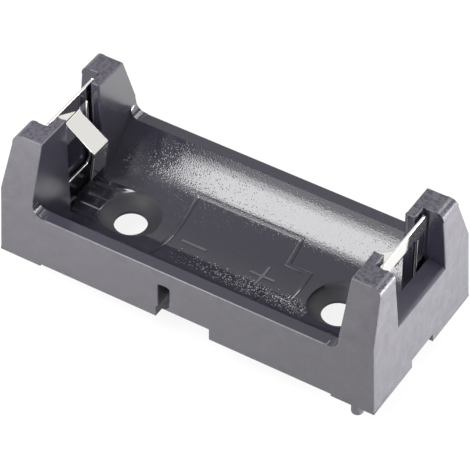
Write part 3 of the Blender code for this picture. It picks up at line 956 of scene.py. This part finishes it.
class BATTERY_HOLDER_OT_set_stage(bpy.types.Operator):
    """Lay the floor, hang the soft lights and set the camera"""

    bl_idname = "battery_holder.set_stage"
    bl_label = "Set Stage"
    bl_options = {"REGISTER", "UNDO"}

    def execute(self, context):
        settings = context.scene.holder_stage
        self.floor(settings)
        self.world(settings)
        self.lights(context, settings)
        self.camera(context, settings)
        context.scene.view_settings.view_transform = "Standard"
        return {"FINISHED"}

    @staticmethod
    def floor(settings):
        """Lay a pale floor at the pins' tips that shows white and keeps the part's shadow."""
        deselect_all()
        bpy.ops.mesh.primitive_plane_add(size=settings.floor_size, location=(0, 0, PIN_TIP_HEIGHT))
        floor = bpy.context.object
        floor.name = "floor"
        place_in_mesh(floor)
        material = bpy.data.materials.new("pale_floor")
        material.use_nodes = True
        tree = material.node_tree
        shader = tree.nodes["Principled BSDF"]
        feed(tree, shader, {"Base Color": settings.floor_colour, "Roughness": 0.8,
                            "Specular IOR Level": 0.0})
        white = add_node(tree, "ShaderNodeEmission", (0, -450))
        feed(tree, white, {"Color": WHITE})
        share = calculate(tree, (100, 300), "MULTIPLY",
                          seen_ray(tree, (-500, 300), MIRRORED_FLOOR), settings.floor_white)
        blend = add_node(tree, "ShaderNodeMixShader", (350, 100))
        feed(tree, blend, {0: share, 1: shader.outputs[0], 2: white.outputs[0]})
        output = tree.nodes["Material Output"]
        output.location = (550, 100)
        link(tree, blend.outputs[0], output.inputs["Surface"])
        floor.data.materials.append(material)

    @staticmethod
    def world(settings):
        """Surround the part with white, which lights it only a little."""
        world = bpy.data.worlds.new("Studio")
        bpy.context.scene.world = world
        world.use_nodes = True
        tree = world.node_tree
        strength = add_node(tree, "ShaderNodeMapRange", (-200, 200))
        feed(tree, strength, {"Value": seen_ray(tree, (-700, 200)), "To Min": settings.sky_level,
                              "To Max": 1.0})
        feed(tree, tree.nodes["Background"], {"Color": WHITE,
                                              "Strength": strength.outputs["Result"]})

    @staticmethod
    def area_light(context, name, width, height, radiance):
        """A rectangular light that the camera doesn't see."""
        light = bpy.data.lights.new(name, "AREA")
        light.shape = "RECTANGLE"
        light.size = width
        light.size_y = height
        light.energy = math.pi * width * height * radiance
        lamp = bpy.data.objects.new(name, light)
        lamp.visible_camera = False
        context.scene.collection.objects.link(lamp)
        return lamp

    def softbox(self, context, name, azimuth, elevation, distance, wide, high, radiance):
        """Hang a softbox that fills a given angle, seen from the part."""
        width = 2 * distance * math.tan(math.radians(wide) / 2)
        height = 2 * distance * math.tan(math.radians(high) / 2)
        lamp = self.area_light(context, name, width, height, radiance)
        turn = math.radians(azimuth)
        rise = math.radians(elevation)
        way = Vector((math.cos(turn) * math.cos(rise), math.sin(turn) * math.cos(rise),
                      math.sin(rise)))
        lamp.location = Vector((0.0, 0.0, HOUSING_HIGH.z / 2)) + way * distance
        lamp.rotation_euler = (-way).to_track_quat("-Z", "Y").to_euler()

    def lights(self, context, settings):
        """Hang the softboxes, and the key light from its bands."""
        for name, azimuth, elevation, distance, wide, high, radiance in SOFTBOXES:
            self.softbox(context, name, azimuth, elevation, distance, wide, high,
                         radiance * settings.light_level)
        lean = math.radians(KEY_LEAN)
        up_face = Vector((0.0, math.cos(lean), math.sin(lean)))
        for name, low, high, radiance in KEY_BANDS:
            band = self.area_light(context, name, KEY_WIDTH, high - low,
                                   radiance * settings.light_level)
            band.location = Vector(KEY_PLACE) + up_face * (low + high) / 2
            band.rotation_euler = (lean, 0.0, 0.0)

    @staticmethod
    def camera(context, settings):
        """Set the camera at the photograph's viewing angle."""
        lens = bpy.data.cameras.new("photo_camera")
        lens.lens = settings.camera_lens
        lens.sensor_width = CAMERA_SENSOR
        lens.clip_start = CAMERA_NEAR
        camera = bpy.data.objects.new("photo_camera", lens)
        azimuth = math.radians(CAMERA_AZIMUTH)
        elevation = math.radians(CAMERA_ELEVATION)
        back = Vector((math.sin(azimuth) * math.cos(elevation),
                       -math.cos(azimuth) * math.cos(elevation), math.sin(elevation)))
        right = Vector((math.cos(azimuth), math.sin(azimuth), 0.0))
        turn = Matrix((right, back.cross(right), back)).transposed()
        camera.rotation_euler = turn.to_euler()
        camera.location = CAMERA_PLACE
        context.scene.collection.objects.link(camera)
        context.scene.camera = camera


class BATTERY_HOLDER_PT_panel(bpy.types.Panel):
    """Battery holder settings and steps in the sidebar"""

    bl_label = "Battery Holder"
    bl_idname = "BATTERY_HOLDER_PT_panel"
    bl_space_type = "VIEW_3D"
    bl_region_type = "UI"
    bl_category = "Battery Holder"

    def draw(self, context):
        for operator, settings_name in STEPS:
            box = self.layout.box()
            box.operator(operator)
            settings = getattr(context.scene, settings_name)
            for key in settings.bl_rna.properties.keys():
                if key not in ("rna_type", "name"):
                    box.prop(settings, key)


STEPS = (
    ("battery_holder.mould_housing", "holder_housing"),
    ("battery_holder.plate_contacts", "holder_contacts"),
    ("battery_holder.raise_marks", "holder_marks"),
    ("battery_holder.set_stage", "holder_stage"),
)

CLASSES = (
    BATTERY_HOLDER_OT_mould_housing,
    BATTERY_HOLDER_OT_plate_contacts,
    BATTERY_HOLDER_OT_raise_marks,
    BATTERY_HOLDER_OT_set_stage,
    BATTERY_HOLDER_PT_panel,
)


def register():
    """Register the settings, the steps and the panel."""
    for name, group in SETTINGS:
        bpy.utils.register_class(group)
        setattr(bpy.types.Scene, name, PointerProperty(type=group))
    for item in CLASSES:
        bpy.utils.register_class(item)


def unregister():
    """Take them all out again, in reverse order."""
    for item in reversed(CLASSES):
        bpy.utils.unregister_class(item)
    for name, group in reversed(SETTINGS):
        delattr(bpy.types.Scene, name)
        bpy.utils.unregister_class(group)


def main():
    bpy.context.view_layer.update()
    register()
    bpy.ops.battery_holder.mould_housing()
    bpy.ops.battery_holder.plate_contacts()
    bpy.ops.battery_holder.raise_marks()
    bpy.ops.battery_holder.set_stage()


if __name__ == "__main__":
    main()
